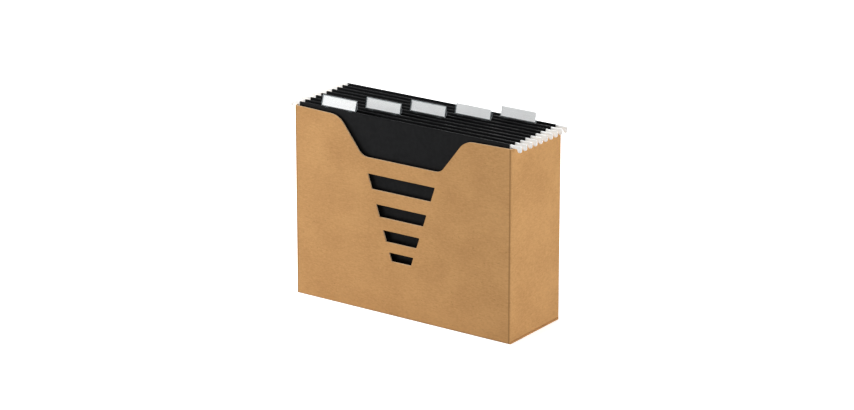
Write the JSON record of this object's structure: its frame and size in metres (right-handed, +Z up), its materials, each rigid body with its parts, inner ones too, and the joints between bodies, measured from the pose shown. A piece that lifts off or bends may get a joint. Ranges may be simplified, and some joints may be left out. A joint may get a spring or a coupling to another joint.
{
  "type": "portable file box",
  "caption": "Open-topped desktop box of folded kraft board with a notched and slotted front, holding black hanging files on plastic hooks, with clear tabs and card labels.",
  "frame": {"origin": "middle of the box at the surface it stands on, between its four walls", "axes": "+X to the right along the front wall, +Y from the front wall to the back wall, +Z up"},
  "size_m": [0.3564, 0.112, 0.273],
  "materials": {
    "kraft_board": "matte",
    "black_card": "matte",
    "strip_steel": "satin",
    "white_nylon": "satin",
    "clear_plastic": "gloss",
    "label_card": "matte"
  },
  "bodies": {
    "box": {"carton": "kraft_board"},
    "file_1": {"file_1_front_card": "black_card", "file_1_front_rail": "strip_steel", "file_1_front_hooks": "white_nylon", "file_1_tab": "clear_plastic"},
    "file_1_back": {"file_1_back_card": "black_card", "file_1_back_rail": "strip_steel", "file_1_back_hooks": "white_nylon"},
    "label_1": {"file_1_label": "label_card"},
    "file_2": {"file_2_front_card": "black_card", "file_2_front_rail": "strip_steel", "file_2_front_hooks": "white_nylon", "file_2_tab": "clear_plastic"},
    "file_2_back": {"file_2_back_card": "black_card", "file_2_back_rail": "strip_steel", "file_2_back_hooks": "white_nylon"},
    "label_2": {"file_2_label": "label_card"},
    "file_3": {"file_3_front_card": "black_card", "file_3_front_rail": "strip_steel", "file_3_front_hooks": "white_nylon", "file_3_tab": "clear_plastic"},
    "file_3_back": {"file_3_back_card": "black_card", "file_3_back_rail": "strip_steel", "file_3_back_hooks": "white_nylon"},
    "label_3": {"file_3_label": "label_card"},
    "file_4": {"file_4_front_card": "black_card", "file_4_front_rail": "strip_steel", "file_4_front_hooks": "white_nylon", "file_4_tab": "clear_plastic"},
    "file_4_back": {"file_4_back_card": "black_card", "file_4_back_rail": "strip_steel", "file_4_back_hooks": "white_nylon"},
    "label_4": {"file_4_label": "label_card"},
    "file_5": {"file_5_front_card": "black_card", "file_5_front_rail": "strip_steel", "file_5_front_hooks": "white_nylon", "file_5_tab": "clear_plastic"},
    "file_5_back": {"file_5_back_card": "black_card", "file_5_back_rail": "strip_steel", "file_5_back_hooks": "white_nylon"},
    "label_5": {"file_5_label": "label_card"}
  },
  "joints": [
    {"name": "file_1_lift", "type": "slide", "parent": "box", "child": "file_1", "axis": [0, 0, 1], "range_m": [0, 0.245]},
    {"name": "file_1_open", "type": "hinge", "parent": "file_1", "child": "file_1_back", "pos_m": [0, -0.0456, 0.02], "axis": [-1, 0, 0], "range_deg": [-1.2, 1.8]},
    {"name": "label_1_slide", "type": "slide", "parent": "file_1", "child": "label_1", "axis": [1, 0, 0], "range_m": [0, 0.053]},
    {"name": "file_2_lift", "type": "slide", "parent": "box", "child": "file_2", "axis": [0, 0, 1], "range_m": [0, 0.245]},
    {"name": "file_2_open", "type": "hinge", "parent": "file_2", "child": "file_2_back", "pos_m": [0, -0.0228, 0.02], "axis": [-1, 0, 0], "range_deg": [-1.2, 1.8]},
    {"name": "label_2_slide", "type": "slide", "parent": "file_2", "child": "label_2", "axis": [1, 0, 0], "range_m": [0, 0.053]},
    {"name": "file_3_lift", "type": "slide", "parent": "box", "child": "file_3", "axis": [0, 0, 1], "range_m": [0, 0.245]},
    {"name": "file_3_open", "type": "hinge", "parent": "file_3", "child": "file_3_back", "pos_m": [0, 0, 0.02], "axis": [-1, 0, 0], "range_deg": [-1.2, 1.8]},
    {"name": "label_3_slide", "type": "slide", "parent": "file_3", "child": "label_3", "axis": [1, 0, 0], "range_m": [0, 0.053]},
    {"name": "file_4_lift", "type": "slide", "parent": "box", "child": "file_4", "axis": [0, 0, 1], "range_m": [0, 0.245]},
    {"name": "file_4_open", "type": "hinge", "parent": "file_4", "child": "file_4_back", "pos_m": [0, 0.0228, 0.02], "axis": [-1, 0, 0], "range_deg": [-1.2, 1.8]},
    {"name": "label_4_slide", "type": "slide", "parent": "file_4", "child": "label_4", "axis": [1, 0, 0], "range_m": [0, 0.053]},
    {"name": "file_5_lift", "type": "slide", "parent": "box", "child": "file_5", "axis": [0, 0, 1], "range_m": [0, 0.245]},
    {"name": "file_5_open", "type": "hinge", "parent": "file_5", "child": "file_5_back", "pos_m": [0, 0.0456, 0.02], "axis": [-1, 0, 0], "range_deg": [-1.2, 0.25]},
    {"name": "label_5_slide", "type": "slide", "parent": "file_5", "child": "label_5", "axis": [1, 0, 0], "range_m": [0, 0.053]}
  ]
}
